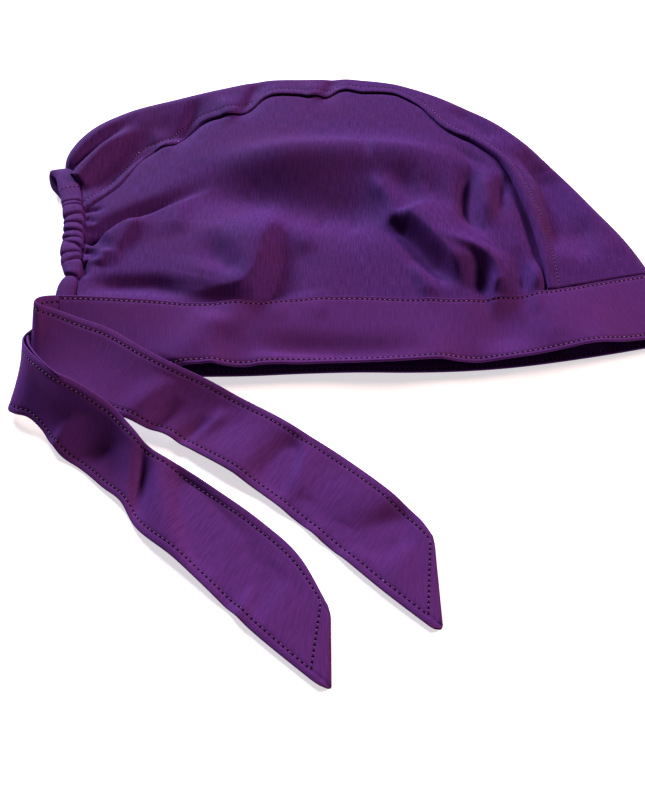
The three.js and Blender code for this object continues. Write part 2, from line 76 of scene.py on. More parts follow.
def unit(vectors):
    return vectors / np.linalg.norm(vectors, axis=-1, keepdims=True)


def mix(a, b, share):
    return a + (b - a) * share


# The seam between the side panel and the crown strip, from the forehead round to the nape
crown_seam_base = smooth_line([
    (87, 5.6, 13.2), (86, 28, 14.6), (84, 50, 15.4), (80.5, 70.5, 16), (74, 87, 16),
    (63, 103, 16), (50.5, 117, 15.8), (41, 135, 15.4), (27, 147.5, 15), (5, 149.8, 15),
    (-16, 146.2, 15.2), (-36, 145.6, 15.2), (-52, 132, 14.8), (-71, 123.5, 14),
    (-87, 107, 13.2), (-98, 95, 12.4), (-107.5, 78, 11.8), (-121, 61, 11.2),
])
# The crown strip's outermost fold beside it; z is the height where the fold begins
crown_fold = smooth_line([
    (136, 19.6, 11), (129.2, 39.4, 12.4), (118.5, 63, 13.4), (106.5, 89.5, 14),
    (92.5, 112, 14), (78.5, 130.5, 14), (62.5, 144.5, 14), (46.5, 156.5, 13.8),
    (28.5, 165, 13.5), (5, 170.2, 13.5), (-19, 170.4, 13.5), (-40, 169.4, 13.5),
    (-63, 160.8, 14.3), (-87, 149.2, 15.4), (-111, 136, 16.4), (-128.5, 120, 15.8),
    (-136.2, 103.4, 13.6), (-134.8, 90.4, 11),
])
# The band's sewn edge, from the nape to the forehead
band_top = smooth_line([
    (-121, -0.2, 15.5), (-102, 0, 14.4), (-81, -1.4, 14), (-61, -3.2, 13.5),
    (-42, -2, 13), (-20, 0.8, 13.2), (4, 1.4, 13.3), (28, 0.2, 13.3), (49, 0.2, 13.2),
    (68, 2.2, 13), (87, 5, 12.8), (108, 10.9, 12.2), (128.7, 16.8, 11),
])
# The casing's seam at the nape, from the band up to the crown's fold
casing_seam = smooth_line([
    (-113, 0.6, 14.2), (-113.8, 15, 13.6), (-114.8, 29, 12.9), (-117.2, 45, 12.2),
    (-121, 61, 11.2), (-127.9, 75.7, 10.2), (-134.8, 90.4, 9.2),
])
# Where the panel's corners lie along the crown seam, the casing's seam and the band's edge
SEAM_CORNER = 4 / 17
CASING_CORNER = 4 / 6
BAND_CORNERS_X = (-113, 87)

# The groove along the seam: place along it, how deep it is, how far it reaches into the side
# panel and how high the strip's edge rolls
SEAM_GROOVE = np.array([
    (0, 0.8, 4, 0.3), (0.04, 2.2, 6, 0.8), (0.1, 3.6, 6, 1.5), (0.27, 3.2, 5, 1.4),
    (0.34, 1.6, 3, 0.6), (0.42, 1.3, 2, 0.2), (0.7, 1.4, 2, 0.2), (0.8, 1.6, 2.4, 0.3),
    (0.92, 1.2, 2.4, 0.3), (1, 0, 2.4, 0.2),
])
# How far the groove reaches into the strip, and how far the crown seam lies above the band and
# from the casing
GROOVE_STRIP_SIDE = 0.6
SEAM_ABOVE_BAND = 130
SEAM_FROM_CASING = 200


def groove(t, distance):
    """Depth of the groove in the side panel at a place along the seam and a distance from it."""
    depth, reach = (np.interp(t, SEAM_GROOVE[:, 0], SEAM_GROOVE[:, k]) for k in (1, 2))
    return depth * np.exp(-(distance / reach) ** 2)


# Folds in the upper layer. Each has its half width on the left and on the right of its line,
# its height, a ridge if positive, the shares of its length where it fades in and out, and the
# line itself, x and y.
PRESSED_FOLDS = [
    (5.5, 2.6, -5.6, 0.02, 0.6, [(-116, 36), (-111, 42.5), (-105.5, 49), (-94, 56.5), (-83, 63),
                                 (-73, 70.5), (-60, 80)]),
    (3.5, 9, 2.4, 0.2, 0.4, [(-111, 36), (-103, 43.5), (-93, 50), (-84, 54)]),
    (3, 8, 2, 0.2, 0.3, [(-94, 52), (-98, 40), (-102, 30), (-101, 19)]),
    (2.2, 4, 1.1, 0.3, 0.3, [(-104.5, 31), (-106.5, 26), (-108, 20)]),
    (1.6, 1.8, -1.8, 0.02, 0.4, [(-116, 31.7), (-111.6, 29.1), (-109.1, 23.8)]),
    (1.6, 1.6, -2, 0.05, 0.5, [(-115.2, 24), (-113.6, 18), (-112.5, 12)]),
    (1.2, 1.2, -1, 0.02, 0.5, [(-117, 40), (-113, 36)]),
    (1.5, 1.5, -1.2, 0.02, 0.5, [(-119, 46), (-109, 49)]),
    (1.5, 1.5, -1.3, 0.02, 0.5, [(-121, 60.5), (-110, 61)]),
    (1.5, 1.5, -1.2, 0.02, 0.5, [(-119, 55), (-113, 51)]),
    (4.5, 7, -3, 0.3, 0.4, [(-114, 11.5), (-104, 9.5), (-92, 9.5), (-82, 9), (-70, 3), (-62, -3)]),
    (4, 12, 2, 0.5, 0.4, [(-75, 72), (-76, 56), (-72, 38)]),
    (6.5, 26, 8.3, 0.5, 0.25, [(-36, 72), (-34, 46), (-37, 30), (-39, 15), (-45, 4), (-52, -12)]),
    (16, 7, -3.1, 0.5, 0.25, [(-24, 56), (-25, 40), (-27, 22), (-30, 8), (-36, -12)]),
    (6, 7, -3.4, 0.45, 0.4, [(-62, 42), (-56, 26), (-48, 10), (-46, 0)]),
    (4, 8, 1.7, 0.5, 0.4, [(-23, 56), (-19, 42), (-14, 28)]),
    (10, 14, 5.2, 0.4, 0.3, [(-74, 86), (-40, 97), (0, 99), (30, 97), (64, 86)]),
    (17, 16, -6.5, 0.4, 0.3, [(-84, 80), (-50, 70), (-20, 62), (4, 57), (34, 57)]),
    (5, 2.5, 2.6, 0.4, 0.2, [(12, 84), (17, 72), (21, 62), (22, 48)]),
    (6, 5, -2, 0.5, 0.4, [(24, 90), (30, 72), (35, 56)]),
    (6, 5, -1.7, 0.5, 0.4, [(38, 84), (43, 70), (49, 54)]),
    (13, 2.8, 6, 0.15, 0.3, [(23, 56), (27.5, 51), (34, 43), (40.5, 32.5), (46.5, 22), (52, 6)]),
    (7, 2.8, 4.7, 0.45, 0.2, [(40, 38), (50, 31), (58, 26), (64, 18), (65, 8), (62, -12)]),
    (2.8, 6, -3.9, 0.2, 0.35, [(23, 54), (28.5, 42), (35, 29), (41, 18), (47, 6)]),
    (3.5, 4, -2.1, 0.4, 0.3, [(54, 22), (59, 10), (58, -10)]),
    (5, 3, 2.1, 0.4, 0.3, [(27, 24), (33, 12), (37, -8)]),
    (4, 5, -5.2, 0.4, 0.4, [(61, 92), (58.5, 68), (58, 52), (63, 36)]),
    (5, 4, 3.1, 0.4, 0.4, [(68, 90), (65.5, 66), (66, 42)]),
    (3.5, 3, -2.9, 0.4, 0.5, [(76, 84), (73, 68), (70, 46)]),
    (3, 2.6, 2.9, 0.4, 0.2, [(84, 28), (82.5, 10), (81, -10)]),
    (3, 4, -2.1, 0.4, 0.2, [(76, 34), (76, 14), (75, -8)]),
    (2.5, 2.5, -1.2, 0.5, 0.5, [(8, 112), (11, 100), (12, 88)]),
    (3, 3, -1.4, 0.5, 0.5, [(52, 108), (62, 94), (70, 84)]),
    (2, 2, -0.8, 0.5, 0.5, [(5, 60), (4, 42)]),
    (2, 2, -0.8, 0.5, 0.5, [(-10, 60), (-10, 44)]),
    (3, 6, -2.5, 0.4, 0.3, [(-54, 124), (-48, 144), (-43, 168)]),
    (3, 5, 1.6, 0.45, 0.4, [(-55, 122), (-58, 132), (-62, 150)]),
    (3, 5, 1.3, 0.45, 0.4, [(-86, 99), (-89, 108), (-94, 124)]),
    (3, 6, -2.5, 0.4, 0.3, [(-86, 100), (-79, 122), (-73, 150)]),
    (3, 5, 1.2, 0.45, 0.4, [(-12, 139), (-14.5, 149), (-19, 165)]),
    (3, 5, -2, 0.4, 0.3, [(-12, 138), (-7, 154), (-3, 172)]),
    (5, 5, -1.8, 0.3, 0.3, [(56, 140), (66, 124), (76, 108)]),
    (16, 4.5, -7.2, 0.35, 0.3, [(80, 106), (94, 84), (96, 60), (95, 24)]),
    (6, 5, -1.6, 0.4, 0.4, [(112, 60), (107, 40), (104, 20)]),
    (14, 4, -3.4, 0.2, 0.4, [(-120, 68), (-106, 94), (-90, 112), (-72, 128), (-54, 138)]),
    (3.5, 3, -4, 0.02, 0.5, [(-133, 87.5), (-127, 97), (-117, 111.5), (-103, 127.5)]),
    (10, 3.6, 4.2, 0.05, 0.5, [(-127.5, 80.5), (-121.5, 92), (-113, 107), (-100, 123)]),
]
# A fold is worked out as far as this many of its half widths from its line. From this far above
# the band's sewn edge, folds have their full height.
FOLD_MARGIN = 2.6
BAND_EASE = 7


def pressed(points, folds=PRESSED_FOLDS, at_band=0.3):
    """Height that folds add to the upper layer at these points; at_band is the share that goes on
    over the band's sewn edge."""
    spots = points[..., :2].reshape(-1, 2)
    height = np.zeros(len(spots))
    for left, right, rise, fade_in, fade_out, rows in folds:
        line = smooth_line(rows)(np.linspace(0, 1, 3 * len(rows)))
        start, step = line[:-1], np.diff(line, axis=0)
        length = np.linalg.norm(step, axis=1)
        ahead = step / length[:, None]
        margin = FOLD_MARGIN * max(left, right)
        inside = (spots > line.min(0) - margin) & (spots < line.max(0) + margin)
        near = np.flatnonzero(inside.all(1))
        if not len(near):
            continue
        gap = spots[near, None] - start
        along = (gap * ahead).sum(-1)
        across = gap[..., 1] * ahead[:, 0] - gap[..., 0] * ahead[:, 1]
        away = np.hypot(across, np.maximum(0, np.maximum(-along, along - length)))
        best = away.argmin(1)[:, None]
        away, across, along = (np.take_along_axis(a, best, 1)[:, 0] for a in (away, across, along))
        best = best[:, 0]
        before = np.cumsum(length) - length
        share = (before[best] + np.clip(along, 0, length[best])) / length.sum()
        fade = np.clip(share / fade_in, 0, 1) * np.clip((1 - share) / fade_out, 0, 1)
        reach = np.where(across > 0, left, right)
        height[near] += rise * np.exp(-(away / reach) ** 2) * fade * fade * (3 - 2 * fade)
    band_edge = np.interp(points[..., 0], *band_top(np.linspace(0, 1, 200))[:, :2].T)
    free = np.clip((points[..., 1] - band_edge) / BAND_EASE, 0, 1)
    return height.reshape(points.shape[:-1]) * mix(at_band, 1, free * free * (3 - 2 * free))


def seam_outward(t):
    """Level direction from the crown seam to the crown's fold."""
    away = crown_fold(t) - crown_seam_base(t)
    away[..., 2] = 0
    return unit(away)


# The seam is drawn up between small tucks. Each row has a place along it, from 0 at the
# forehead to 1 at the nape, and how far out the seam lies there. The rows are smoothed over a
# short stretch of samples.
SEAM_TUCKS = np.array([
    (0, -0.6), (0.036, -0.4), (0.127, 0.4), (0.154, -0.1), (0.184, 0.6), (0.216, 2.4),
    (0.239, 3.4), (0.264, 3.2), (0.31, 2.8), (0.327, 1.6), (0.397, -0.5), (0.422, 1),
    (0.448, 1.2), (0.471, 2.4), (0.491, 1.9), (0.516, 1.2), (0.536, 4.4), (0.548, 4.4),
    (0.565, 1.4), (0.59, 0.6), (0.602, 2.7), (0.649, 3.3), (0.663, 3.2), (0.679, 1.4),
    (0.72, 1.6), (0.744, 4), (0.759, 4.6), (0.782, 2.6), (0.805, -0.2), (0.821, 0.9),
    (0.839, 3.7), (0.861, 3.4), (0.9, 0.1), (0.937, -0.8), (1, 0),
])
SEAM_SAMPLES = 2000
SMOOTHED_OVER = 27
sampled = np.linspace(0, 1, SEAM_SAMPLES)
window = np.hanning(SMOOTHED_OVER)
beyond = SMOOTHED_OVER // 2
wider = np.linspace(-beyond, SEAM_SAMPLES + beyond, SEAM_SAMPLES + 2 * beyond) / SEAM_SAMPLES
drawn = np.interp(wider, *SEAM_TUCKS.T)
drawn = np.convolve(drawn, window / window.sum(), "valid")


def crown_seam(t):
    return crown_seam_base(t) + seam_outward(t) * np.interp(t, sampled, drawn)[..., None]


BAND_FROM, BAND_TO = np.interp(BAND_CORNERS_X, band_top(sampled)[:, 0], sampled)
# How soon each side of the panel leaves the corner where it is drawn in to meet the next seam
CORNER_EASE = 40


def panel_surface(upper):
    """The middle surface of a side panel: u runs to the forehead and v up to the crown."""

    def edge(points, tuck):
        points = points + tuck
        points[..., 2] = points[..., 2] - TUCK_DROP if upper else PANEL_HALF
        return points

    def seam(t):
        return edge(crown_seam(t), TUCK * seam_outward(t))

    def surface(u, v):
        u, v = np.broadcast_arrays(np.asarray(u, float), np.asarray(v, float))
        bottom = lambda s: edge(band_top(mix(BAND_FROM, BAND_TO, s)), np.array([0, -TUCK, 0]))
        left = lambda s: edge(casing_seam(CASING_CORNER * s), np.array([-TUCK, 0, 0]))
        top = lambda s: seam(mix(1, SEAM_CORNER, s))
        right = lambda s: seam(SEAM_CORNER * s)
        a, b = u[..., None], v[..., None]
        zero, one = np.zeros_like(u), np.ones_like(u)
        low, high = np.exp(-CORNER_EASE * b), np.exp(-CORNER_EASE * (1 - b))
        sides = []
        for side, end in ((left, zero), (right, one)):
            drawn_in = (bottom(end) - side(zero)) * low + (top(end) - side(one)) * high
            sides.append(side(v) + drawn_in)
        point = mix(bottom(u), top(u), b) + mix(*sides, a)
        corners = mix(mix(bottom(zero), bottom(one), a), mix(top(zero), top(one), a), b)
        point = point - corners
        if upper:
            swell = np.sin(np.pi * u) * np.sin(np.pi * v)
            point[..., 2] += PANEL_LOFT * swell + pressed(point)
            along_top = groove(mix(1, SEAM_CORNER, u), (1 - v) * SEAM_ABOVE_BAND)
            along_right = groove(SEAM_CORNER * v, (1 - u) * SEAM_FROM_CASING)
            point[..., 2] -= np.maximum(along_top, along_right)
        return point

    return surface


def skin_of(surface, half):
    """The two faces of a cloth whose middle is surface and whose half thickness is half(u, v)."""

    def skin(u, v, side):
        step = 0.001
        ahead = surface(np.minimum(u + step, 1), v) - surface(np.maximum(u - step, 0), v)
        across = surface(u, np.minimum(v + step, 1)) - surface(u, np.maximum(v - step, 0))
        normal = unit(np.cross(ahead, across))
        return surface(u, v) + normal * (side * half(u, v))[..., None], normal

    return skin


def way_round(run, half, width=1):
    """The way round a cloth's cut section through the places in run, as shares across it and
    sides, with round edges."""
    turn = [k * math.pi / 6 for k in range(1, 6)]
    way = [(x, 1) for x in run]
    way += [(width - half + half * math.sin(a), math.cos(a)) for a in turn]
    way += [(x, -1) for x in reversed(run)]
    way += [(half - half * math.sin(a), -math.cos(a)) for a in turn]
    return np.array(way) / [width, 1]


def section(width, half, cells, dense=()):
    """An evenly divided cut section, with closer places beside the lines in dense."""
    run = set(np.linspace(half, width - half, cells + 1))
    run |= {line + off for line in dense for off in (-1.3, -0.6, 0, 0.6, 1.3)}
    return way_round(sorted(run), half, width)


def stations(length, step, rounds=(0.0, 0.0)):
    """Shares along a cloth, a step apart, and closer where its ends are rounded off."""
    middle = np.linspace(rounds[0], length - rounds[1], max(2, round(length / step)))
    bend = np.array([0, 0.04, 0.15, 0.35, 0.65])
    parts = [bend * rounds[0]] if rounds[0] else []
    parts += [middle] + ([length - bend[::-1] * rounds[1]] if rounds[1] else [])
    return np.concatenate(parts) / length


def finish_mesh(name, bm, material):
    mesh = bpy.data.meshes.new(name)
    bm.to_mesh(mesh)
    bm.free()
    mesh.materials.append(material)
    piece = bpy.data.objects.new(name, mesh)
    bpy.context.scene.collection.objects.link(piece)
    return piece


def cloth_wall(name, skin, along, around, grain, material):
    """A closed wall of cloth: a grid wrapped round the section and laid along the stations.
    grain(u, v) gives the place on the flat cloth, in millimetres, for the weave."""
    bm = bmesh.new()
    weave = bm.loops.layers.uv.new("weave")
    bmesh.ops.create_grid(bm, x_segments=len(along) - 1, y_segments=len(around), size=0.5)
    spots = np.array([vert.co[:2] for vert in bm.verts]) + 0.5
    i = np.rint(spots[:, 0] * (len(along) - 1)).astype(int)
    j = np.rint(spots[:, 1] * len(around)).astype(int)
    v, side = around[j % len(around)].T
    points = skin(along[i], v, side)[0]
    flat = grain(along[i], v)
    for vert, point in zip(bm.verts, points * MM):
        vert.co = point
    bm.verts.index_update()
    for face in bm.faces:
        face.smooth = True
        for loop in face.loops:
            loop[weave].uv = flat[loop.vert.index] * MM
    closing = [vert for vert, k in zip(bm.verts, j) if k in (0, len(around))]
    bmesh.ops.remove_doubles(bm, verts=closing, dist=1e-7)
    bmesh.ops.holes_fill(bm, edges=[e for e in bm.edges if e.is_boundary], sides=0)
    bmesh.ops.recalc_face_normals(bm, faces=bm.faces)
    return finish_mesh(name, bm, material)


def linear(code):
    """An sRGB hex colour as linear red, green, blue and alpha."""
    values = [int(code[k:k + 2], 16) / 255 for k in (1, 3, 5)]
    return [c / 12.92 if c <= 0.04045 else ((c + 0.055) / 1.055) ** 2.4 for c in values] + [1]


def add(tree, kind, inputs, **settings):
    """Adds one node with its settings, and its inputs set or linked."""
    new = tree.nodes.new(kind)
    for key, value in settings.items():
        setattr(new, key, value)
    for key, value in inputs.items():
        if isinstance(value, bpy.types.NodeSocket):
            tree.links.new(value, new.inputs[key])
        else:
            new.inputs[key].default_value = value
    return new


# Width across the warp, length along it and detail of the thick threads, of the weft's picks
# and of the patches in the dye
SLUBS = (0.45, 7, 1)
PICKS = (3, 0.4, 1)
PATCHES = (45, 32, 2)


def woven_cloth(name, thread, shade, plum, slub):
    """Dyed plain-woven poly-cotton: upright slubs and a finer weft, a soft sheen, and patches
    that turn from violet to plum. Slub is how much lighter the threads are than the gaps, from
    0 to 1. Threads lie 0.25 mm apart in the real cloth, and are drawn 0.45 mm apart here,
    because finer ones don't show."""
    material = bpy.data.materials.new(name)
    material.use_nodes = True
    tree = material.node_tree
    tree.nodes.clear()
    cloth = add(tree, "ShaderNodeUVMap", {}, uv_map="weave").outputs["UV"]
    noises = []
    for width, length, detail in (SLUBS, PICKS, PATCHES):
        spread = add(tree, "ShaderNodeMapping", {
            "Vector": cloth, "Scale": (1 / (width * MM), 1 / (length * MM), 1),
        })
        noises.append(add(tree, "ShaderNodeTexNoise", {
            "Vector": spread.outputs[0], "Scale": 1, "Detail": detail, "Roughness": 0.5,
        }, noise_dimensions="2D").outputs["Fac"])
    slubs, picks, patches = noises
    threads = add(
        tree, "ShaderNodeMath", {0: picks, 1: 0.45, 2: slubs}, operation="MULTIPLY_ADD")
    tone = add(tree, "ShaderNodeMapRange", {
        "Value": threads.outputs[0], "From Min": 0.5, "From Max": 0.95,
        "To Min": 0.5 - 0.5 * slub, "To Max": 0.5 + 0.5 * slub,
    })
    violet = add(tree, "ShaderNodeMix", {
        "Factor": tone.outputs[0], 6: linear(shade), 7: linear(thread),
    }, data_type="RGBA")
    turn = add(tree, "ShaderNodeMapRange", {
        "Value": patches, "From Min": 0.42, "From Max": 0.68, "To Min": 0, "To Max": 0.2,
    })
    colour = add(tree, "ShaderNodeMix", {
        "Factor": turn.outputs[0], 6: violet.outputs[2], 7: linear(plum),
    }, data_type="RGBA")
    relief = add(tree, "ShaderNodeBump", {
        "Height": threads.outputs[0], "Strength": 0.12, "Distance": 0.12 * MM,
    })
    shader = add(tree, "ShaderNodeBsdfPrincipled", {
        "Base Color": colour.outputs[2], "Roughness": 0.8, "Specular IOR Level": 0.03,
        "Sheen Weight": 0.02, "Sheen Roughness": 0.4, "Sheen Tint": linear("#a858c4"),
        "Normal": relief.outputs[0],
    })
    add(tree, "ShaderNodeOutputMaterial", {"Surface": shader.outputs[0]})
    return material


crown_cloth = woven_cloth("violet poly-cotton crown cloth", "#4f266c", "#2c1442", "#481940", 0.55)
# One half thickness all over, and a weave that lies as the piece does, seen from above
even = lambda thickness: (lambda u, v: np.full(np.shape(u), thickness))
laid_flat = lambda surface: (lambda u, v: surface(u, v)[..., :2])

right_panel = panel_surface(True)
# Lines beside the crown seam where its mesh is closer
SEAM_DENSE = (145.4, 148)
right_skin = skin_of(right_panel, even(PANEL_HALF))
side_panel_right = cloth_wall(
    "side_panel_right_cloth", right_skin, stations(PANEL_LENGTH, 1.05, (0, 4)),
    section(PANEL_HEIGHT, PANEL_HALF, 140, SEAM_DENSE), laid_flat(right_panel), crown_cloth)
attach(side_panel_right, "root")
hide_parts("side_panel_right")

# Left side panel: the same cut on the other side, one layer of the same cloth, lying flat on
# the table under the rest of the cap.
left_panel = panel_surface(False)
side_panel_left = cloth_wall(
    "side_panel_left_cloth", skin_of(left_panel, even(PANEL_HALF)), stations(PANEL_LENGTH, 5),
    section(PANEL_HEIGHT, PANEL_HALF, 30), laid_flat(left_panel), crown_cloth)
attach(side_panel_left, "root")
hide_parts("side_panel_left")

# Crown strip: one strip of the same cloth over the middle of the head. Its edges are turned
# under and topstitched down on both side panels, and it is folded along its middle where the
# cap lies flat.
STRIP_HALF = 0.3
STRIP_FOLD_LENGTH = 420
STITCH_PITCH = 2.15
THREAD = 0.42
# How far the stitches are from the seam, and how deep and wide they press the cloth in
TOPSTITCH = 5.6
STITCH_DIP, DIP_REACH = 0.25, 0.9
# Where the rolled edge at the seam begins to fall off, and over which width
ROLL_WIDTH, ROLL_FADE = 3, 2
# How far the folded edge reaches in, the margin that holds the stitches, and the most that
# either takes where the strip is narrow
FOLD_REACH = 8.5
FOLD_MOST = 0.42
STITCH_MARGIN = 8
MARGIN_MOST = 0.6
# How far the nape end is drawn over to the right, and over which share of the length
NAPE_GATHER = 4
NAPE_SHARE = 0.04
# Places across the strip, from the upper seam to the lower one: the margin's end, and where the
# folded edge begins and ends
MARGIN_END, FOLD_FROM, FOLD_TO = 0.2, 0.4, 0.62
STRIP_EDGE = 0.004
# The share of its height at which the fold stands out farthest
FOLD_MIDDLE = 0.4


def strip_parts(width):
    """Widths of the folded edge, of what is left beside it, and of the margin at the seam."""
    reach = np.minimum(FOLD_REACH, width * FOLD_MOST)
    flat = width - reach
    return reach, flat, np.minimum(STITCH_MARGIN, MARGIN_MOST * flat)


def strip_surface(u, w):
    """The strip from the nape to the forehead: w goes from the upper seam, over the fold at the
    middle of the head, and back along the table to the lower seam."""
    u, w = np.broadcast_arrays(np.asarray(u, float), np.asarray(w, float))
    t = 1 - u
    seam, fold, away = crown_seam(t), crown_fold(t), seam_outward(t)
    width = np.linalg.norm((fold - seam)[..., :2], axis=-1)
    reach, flat, margin = strip_parts(width)
    distance = np.interp(w, [0, MARGIN_END], [0, 1]) * margin
    distance += np.interp(w, [MARGIN_END, FOLD_FROM], [0, 1]) * (flat - margin)
    distance -= np.interp(w, [FOLD_TO, 1], [0, 1]) * flat
    angle = np.pi * (0.5 - np.interp(w, [FOLD_FROM, FOLD_TO], [0, 1]))
    turning = (w > FOLD_FROM) & (w < FOLD_TO)
    distance = np.where(turning, flat + reach * np.cos(angle), distance)
    point = seam + away * distance[..., None]
    across = np.clip(distance / width, 0, 1)
    gathered = np.exp(-(u / NAPE_SHARE) ** 2) * np.sin(np.pi * across**1.3)
    point[..., 0] += NAPE_GATHER * gathered
    middle = STRIP_HALF + (fold[..., 2] - STRIP_HALF) * FOLD_MIDDLE
    share = np.clip(distance / np.maximum(flat, 1e-6), 0, 1)
    roll = np.interp(t, SEAM_GROOVE[:, 0], SEAM_GROOVE[:, 3])
    lip = 1 - 2 * np.exp(-(distance / GROOVE_STRIP_SIDE) ** 2)
    rise = roll * lip * np.exp(-(np.maximum(0, distance - ROLL_WIDTH) / ROLL_FADE) ** 2)
    rise -= STITCH_DIP * np.exp(-((distance - TOPSTITCH) / DIP_REACH) ** 2)
    upper = mix(seam[..., 2], fold[..., 2], share) + rise + pressed(point)
    lift = np.sin(angle)
    top = fold[..., 2] + pressed(point)
    rounded = middle + lift * np.where(lift > 0, top - middle, middle - STRIP_HALF)
    point[..., 2] = np.where(w <= FOLD_FROM, upper, np.where(w >= FOLD_TO, STRIP_HALF, rounded))
    return point


def stitches(name, runs, material, thread=THREAD, hole=1.2):
    """A row of stitches for each run, and between them flat dark marks of painted shade where the
    needle went in. A run gives points on the cloth and the way it faces."""
    # Half sizes along the row, across it and out of the cloth
    stitch = (0.27 * STITCH_PITCH, thread / 2, thread / 2)
    # The flat dark marks between the stitches are painted shade where the needle went in; hole is
    # the needle hole's width
    shade_mark = (0.25 * STITCH_PITCH, 0.45 * hole, 0.12)
    bm = bmesh.new()
    for points, facing in runs:
        steps = np.linalg.norm(np.diff(points, axis=0), axis=1)
        travelled = np.concatenate([[0], np.cumsum(steps)])
        count = max(1, round(travelled[-1] / STITCH_PITCH))
        places = (np.arange(2 * count) + 0.5) * travelled[-1] / count / 2
        at = lambda rows, where: np.stack(
            [np.interp(where, travelled, rows[:, k]) for k in range(3)], 1)
        ahead = unit(at(points, places + 0.3) - at(points, places - 0.3))
        up = unit(at(facing, places))
        beside = unit(np.cross(up, ahead))
        rows = zip(at(points, places), ahead, beside, np.cross(ahead, beside))
        for k, (centre, a, b, c) in enumerate(rows):
            sizes = stitch if k % 2 else shade_mark
            turn = Matrix((a * sizes[0], b * sizes[1], c * sizes[2])).transposed().to_4x4()
            spot = Matrix.Translation(Vector((centre + c * thread * 0.1) * MM))
            made = bmesh.ops.create_icosphere(
                bm, subdivisions=1, radius=1, matrix=spot @ Matrix.Scale(MM, 4) @ turn)["verts"]
            for face in {face for vert in made for face in vert.link_faces}:
                face.material_index = 1 - k % 2
                face.smooth = True
    piece = finish_mesh(name, bm, material)
    piece.data.materials.append(painted_needle_shade)
    return piece


# How far apart the plies show along a thread
PLY = 0.6


def sewing_thread(name, code):
    """Spun polyester thread with a dull gloss, its tone uneven along the twist of its plies."""
    material = bpy.data.materials.new(name)
    material.use_nodes = True
    tree = material.node_tree
    tree.nodes.clear()
    place = add(tree, "ShaderNodeTexCoord", {}).outputs["Object"]
    ply = add(tree, "ShaderNodeTexNoise", {"Vector": place, "Scale": 1 / (PLY * MM), "Detail": 1})
    tone = add(tree, "ShaderNodeMapRange", {
        "Value": ply.outputs["Fac"], "From Min": 0.3, "From Max": 0.7, "To Min": 0.7,
        "To Max": 1.15,
    })
    colour = add(tree, "ShaderNodeVectorMath", {
        0: linear(code)[:3], "Scale": tone.outputs[0],
    }, operation="SCALE")
    shader = add(tree, "ShaderNodeBsdfPrincipled", {
        "Base Color": colour.outputs[0], "Roughness": 0.55, "Specular IOR Level": 0.4,
        "Sheen Weight": 0.3, "Sheen Roughness": 0.4,
    })
    add(tree, "ShaderNodeOutputMaterial", {"Surface": shader.outputs[0]})
    return material


violet_thread = sewing_thread("violet spun polyester thread", "#744584")
dark_thread = sewing_thread("plum spun polyester thread", "#512a58")


def plain_finish(name, sockets):
    """A material that is the same all over."""
    material = bpy.data.materials.new(name)
    material.use_nodes = True
    for socket, value in sockets.items():
        material.node_tree.nodes["Principled BSDF"].inputs[socket].default_value = value
    return material


# Painted shade: a dark finish with no shine for the marks that stand for the shade in the holes a
# needle leaves
painted_needle_shade = plain_finish("painted needle shade", {
    "Base Color": linear("#240a26"), "Roughness": 1, "Specular IOR Level": 0,
})
strip_skin = skin_of(strip_surface, even(STRIP_HALF))
UNDER_SHIFT = 300


def strip_grain(u, w):
    """The weave's place, moved on for the under half so that the two differ."""
    point = strip_surface(u, w)
    under = np.asarray(w) > (FOLD_FROM + FOLD_TO) / 2
    return np.stack([point[..., 0], point[..., 1] + UNDER_SHIFT * under], -1)


# Places across it, close together at the stitched edge and round the fold
strip_places = [
    *np.linspace(STRIP_EDGE, MARGIN_END, 12), *np.linspace(0.21, FOLD_FROM, 22),
    *np.linspace(0.41, 0.61, 20), *np.linspace(0.64, 1 - STRIP_EDGE, 12),
]
crown_strip = cloth_wall(
    "crown_strip_cloth", strip_skin, stations(STRIP_FOLD_LENGTH, 1.2),
    way_round(strip_places, STRIP_EDGE), strip_grain, crown_cloth)
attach(crown_strip, "root")
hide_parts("crown_strip")

path = np.linspace(0.004, 0.996, 900)
strip_width = np.linalg.norm((crown_fold(1 - path) - crown_seam(1 - path))[:, :2], axis=1)
stitched_at = MARGIN_END * TOPSTITCH / strip_parts(strip_width)[2]
crown_stitches = stitches(
    "crown_strip_stitches", [strip_skin(path, stitched_at, np.ones_like(path))], dark_thread,
    thread=0.3, hole=0.7)
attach(crown_stitches, "root")

# Nape casing: a narrow tube of the crown cloth round a flat elastic, which gathers it into
# puckers. It runs from the band up the nape, over the top of the opening and down the far side.
CASING_CLOTH = 0.45
# Size of its weave, round and along the tube, in metres
CASING_ROUND, CASING_LENGTH = 0.026, 0.2
# Steps of its mesh round the tube and along its near and its far side
RING = 48
NEAR_STEPS, FAR_STEPS = 300, 110
# The tube's middle line: x, y, z, width and height, up the near side, over and down the far one
casing_line = smooth_line([
    (-119.2, -2, 13.2, 7.8, 2.6), (-119.2, 6, 13.4, 7.6, 3.2), (-118.4, 14.5, 13.2, 6.8, 3.4),
    (-119.6, 21, 13, 8.8, 4), (-121, 28, 12.8, 9.6, 4.4), (-122, 38, 12.4, 9.8, 4.4),
    (-123.2, 48, 12, 9.4, 4.4), (-124.9, 57, 11.6, 9.4, 4.4), (-127, 66, 11.2, 9.8, 4.2),
    (-128.9, 73, 10.8, 9.8, 4), (-131, 79.5, 10.4, 10, 4), (-133.2, 87, 9.6, 10, 4),
    (-136.6, 93, 7.8, 9.6, 4.2), (-139, 94.4, 5.2, 9.4, 4.4), (-138.2, 90.4, 3.4, 9.4, 4),
    (-134, 84.6, 2.7, 9.4, 3.4), (-129.4, 77, 2.4, 9.4, 2.8), (-124.4, 56, 2.3, 9.4, 2.6),
    (-121.2, 31, 2.3, 9.4, 2.6), (-120.2, 15, 2.3, 9, 2.6), (-120.2, -2, 2.1, 9, 1.8),
])
# Where along it the tube begins to turn over, and the way that its right side faces
TURN_FROM = 11 / 20
CASING_RIGHT = np.array([0.98, 0.2, 0])
